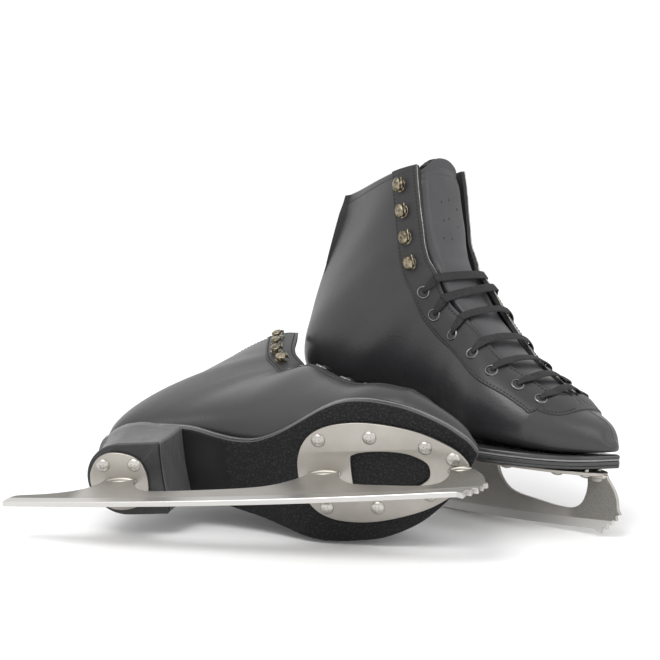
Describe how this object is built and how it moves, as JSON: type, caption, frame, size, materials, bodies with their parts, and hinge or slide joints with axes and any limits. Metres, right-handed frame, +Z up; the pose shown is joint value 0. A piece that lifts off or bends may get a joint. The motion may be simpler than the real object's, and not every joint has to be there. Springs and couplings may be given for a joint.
{
  "type": "pair of figure skates",
  "caption": "Pair of laced leather figure skates with steel two-stanchion blades and toe picks; one stands on its blade, the other lies on its side against it.",
  "frame": {"origin": "centre of the foot of the pair's bounding box, on the floor", "axes": "+Z up; +X along the pair's longest side, from the lying skate's blade tail to the standing skate's toe; +Y away from the lying skate's sole"},
  "size_m": [0.4428, 0.3088, 0.2726],
  "materials": {
    "boot_leather": "smooth satin black finished leather with fine grain",
    "lining": "matte dark lining leather",
    "counter_board": "matte fibre stiffener",
    "footbed": "matte",
    "tongue_leather": "smooth satin black leather",
    "outsole": "matte pebbled",
    "sole_edge": "polished black edge",
    "heel_leather": "polished black leather cover",
    "heel_lift": "smooth black",
    "blade_steel": "ground and buffed nickel-plated steel, blasted at toe and tail",
    "plate_steel": "satin nickel plate",
    "screw_steel": "bright",
    "eyelet_metal": "black lacquered with worn grey rims",
    "hook_brass": "antique, aged",
    "lace": "woven flat black"
  },
  "bodies": {
    "skate_left": {"left_upper": "boot_leather", "left_lining": "lining", "left_heel_counter": "counter_board", "left_insole": "footbed", "left_tongue_lower": "tongue_leather", "left_outsole": "outsole", "left_midsole": "sole_edge", "left_heel_block": "heel_leather", "left_heel_lift": "heel_lift", "left_blade": "blade_steel", "left_front_plate": "plate_steel", "left_heel_plate": "plate_steel", "left_eyelet_row_outer": "eyelet_metal", "left_eyelet_row_inner": "eyelet_metal", "left_hook_row_outer": "hook_brass", "left_hook_row_inner": "hook_brass", "left_lace": "lace", "left_front_screw_1": "screw_steel", "left_front_screw_2": "screw_steel", "left_front_screw_3": "screw_steel", "left_front_screw_4": "screw_steel", "left_front_screw_5": "screw_steel", "left_front_screw_6": "screw_steel", "left_front_screw_7": "screw_steel", "left_front_screw_8": "screw_steel", "left_heel_screw_1": "screw_steel", "left_heel_screw_2": "screw_steel", "left_heel_screw_3": "screw_steel", "left_heel_screw_4": "screw_steel"},
    "tongue_left": {"left_tongue_upper": "tongue_leather"},
    "skate_right": {"right_upper": "boot_leather", "right_lining": "lining", "right_heel_counter": "counter_board", "right_insole": "footbed", "right_tongue_lower": "tongue_leather", "right_outsole": "outsole", "right_midsole": "sole_edge", "right_heel_block": "heel_leather", "right_heel_lift": "heel_lift", "right_blade": "blade_steel", "right_front_plate": "plate_steel", "right_heel_plate": "plate_steel", "right_eyelet_row_outer": "eyelet_metal", "right_eyelet_row_inner": "eyelet_metal", "right_hook_row_outer": "hook_brass", "right_hook_row_inner": "hook_brass", "right_lace": "lace", "right_front_screw_1": "screw_steel", "right_front_screw_2": "screw_steel", "right_front_screw_3": "screw_steel", "right_front_screw_4": "screw_steel", "right_front_screw_5": "screw_steel", "right_front_screw_6": "screw_steel", "right_front_screw_7": "screw_steel", "right_front_screw_8": "screw_steel", "right_heel_screw_1": "screw_steel", "right_heel_screw_2": "screw_steel", "right_heel_screw_3": "screw_steel", "right_heel_screw_4": "screw_steel"},
    "tongue_right": {"right_tongue_upper": "tongue_leather"}
  },
  "joints": [
    {"name": "right_skate_lift", "type": "slide", "parent": "skate_left", "child": "skate_right", "axis": [0.8365, 0.2241, 0.5], "range_m": [0, 0.3]},
    {"name": "left_tongue_bend", "type": "hinge", "parent": "skate_left", "child": "tongue_left", "pos_m": [-0.00981, 0.04657, 0.07681], "axis": [0.1199, 0.1803, -0.9763], "range_deg": [-2, 10], "stiffness_Nm_per_rad": 0.3},
    {"name": "right_tongue_bend", "type": "hinge", "parent": "skate_right", "child": "tongue_right", "pos_m": [0.10628, 0.05341, 0.17574], "axis": [0.6358, 0.7609, -0.1297], "range_deg": [-12, 35], "stiffness_Nm_per_rad": 0.3}
  ]
}
